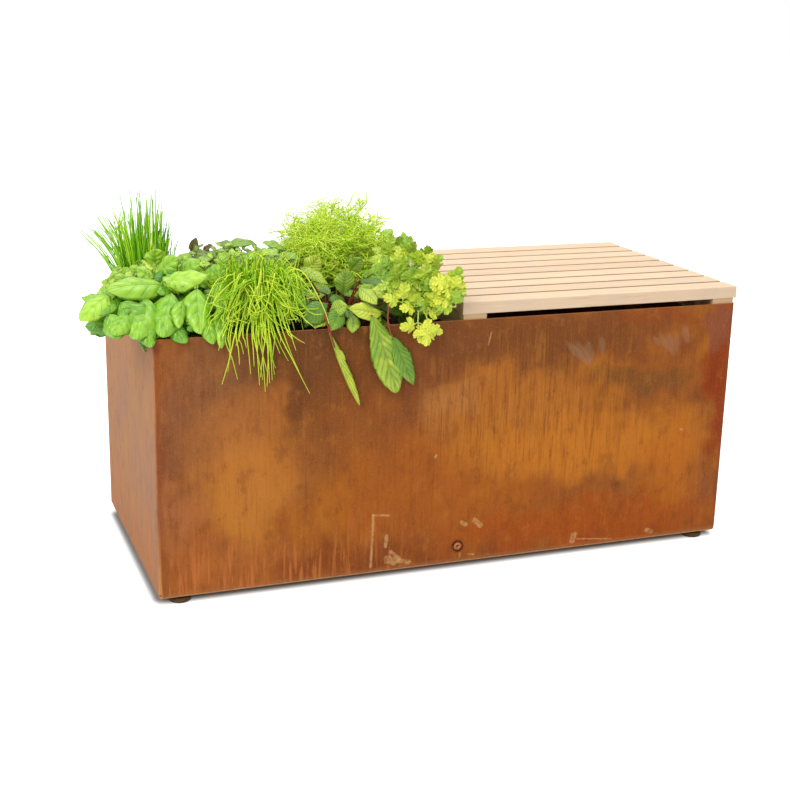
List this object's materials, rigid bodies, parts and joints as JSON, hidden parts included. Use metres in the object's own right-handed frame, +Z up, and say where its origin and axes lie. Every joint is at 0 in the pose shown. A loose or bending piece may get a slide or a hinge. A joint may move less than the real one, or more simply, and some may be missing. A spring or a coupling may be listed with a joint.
{
  "type": "bench with planter",
  "caption": "Weathering-steel trough on levelling feet: herbs planted at its left half, a lift-off slatted wooden seat over a storage bay at its right half.",
  "frame": {"origin": "middle of the steel box's flat underside, at the level of its return flanges; the feet reach 12 mm below it", "axes": "+X along the box towards the seat, +Y to the back, +Z up"},
  "size_m": [1.093, 0.4852, 0.6018],
  "materials": {
    "weathering_steel": "matte",
    "zinc_steel": "satin",
    "plug_steel": "matte",
    "stainless": "satin",
    "slat_wood": "matte",
    "batten_wood": "matte",
    "foot_rubber": "matte",
    "clay_pebbles": "matte",
    "fleece": "matte",
    "potting_soil": "matte",
    "chives_green": "satin",
    "basil_green": "satin",
    "dark_basil_green": "satin",
    "garlic_chives_green": "satin",
    "dill_green": "satin",
    "red_veined_sorrel_green": "satin",
    "leaf_celery_green": "satin",
    "young_chard_green": "satin"
  },
  "bodies": {
    "root": {"shell_front": "weathering_steel", "shell_back": "weathering_steel", "base_plate": "weathering_steel", "corner_welds": "weathering_steel", "foot_nuts": "zinc_steel", "divider": "weathering_steel", "divider_angle_front": "weathering_steel", "divider_angle_back": "weathering_steel", "divider_rivets": "zinc_steel", "drain_socket": "weathering_steel", "drain_strainer": "stainless", "pebbles": "clay_pebbles", "filter_fleece": "fleece", "soil": "potting_soil", "chives": "chives_green", "basil": "basil_green", "dark_basil": "dark_basil_green", "garlic_chives": "garlic_chives_green", "dill": "dill_green", "red_veined_sorrel": "red_veined_sorrel_green", "leaf_celery": "leaf_celery_green", "young_chard": "young_chard_green"},
    "seat": {"seat_slat_1": "slat_wood", "seat_slat_2": "slat_wood", "seat_slat_3": "slat_wood", "seat_slat_4": "slat_wood", "seat_slat_5": "slat_wood", "seat_slat_6": "slat_wood", "seat_slat_7": "slat_wood", "seat_slat_8": "slat_wood", "seat_slat_9": "slat_wood", "seat_batten_left": "batten_wood", "seat_batten_right": "batten_wood", "seat_screws": "stainless"},
    "drain_plug": {"drain_plug": "plug_steel"},
    "foot_front_left": {"foot_stud_front_left": "zinc_steel", "foot_pad_front_left": "foot_rubber"},
    "foot_front_right": {"foot_stud_front_right": "zinc_steel", "foot_pad_front_right": "foot_rubber"},
    "foot_back_left": {"foot_stud_back_left": "zinc_steel", "foot_pad_back_left": "foot_rubber"},
    "foot_back_right": {"foot_stud_back_right": "zinc_steel", "foot_pad_back_right": "foot_rubber"}
  },
  "joints": [
    {"name": "seat_lift", "type": "slide", "parent": "root", "child": "seat", "axis": [0, 0, 1], "range_m": [0, 0.35]},
    {"name": "drain_plug_pull", "type": "slide", "parent": "root", "child": "drain_plug", "axis": [0, -1, 0], "range_m": [0, 0.03]},
    {"name": "foot_front_left_level", "type": "slide", "parent": "root", "child": "foot_front_left", "axis": [0, 0, -1], "range_m": [0, 0.012]},
    {"name": "foot_front_right_level", "type": "slide", "parent": "root", "child": "foot_front_right", "axis": [0, 0, -1], "range_m": [0, 0.012]},
    {"name": "foot_back_left_level", "type": "slide", "parent": "root", "child": "foot_back_left", "axis": [0, 0, -1], "range_m": [0, 0.012]},
    {"name": "foot_back_right_level", "type": "slide", "parent": "root", "child": "foot_back_right", "axis": [0, 0, -1], "range_m": [0, 0.012]}
  ]
}
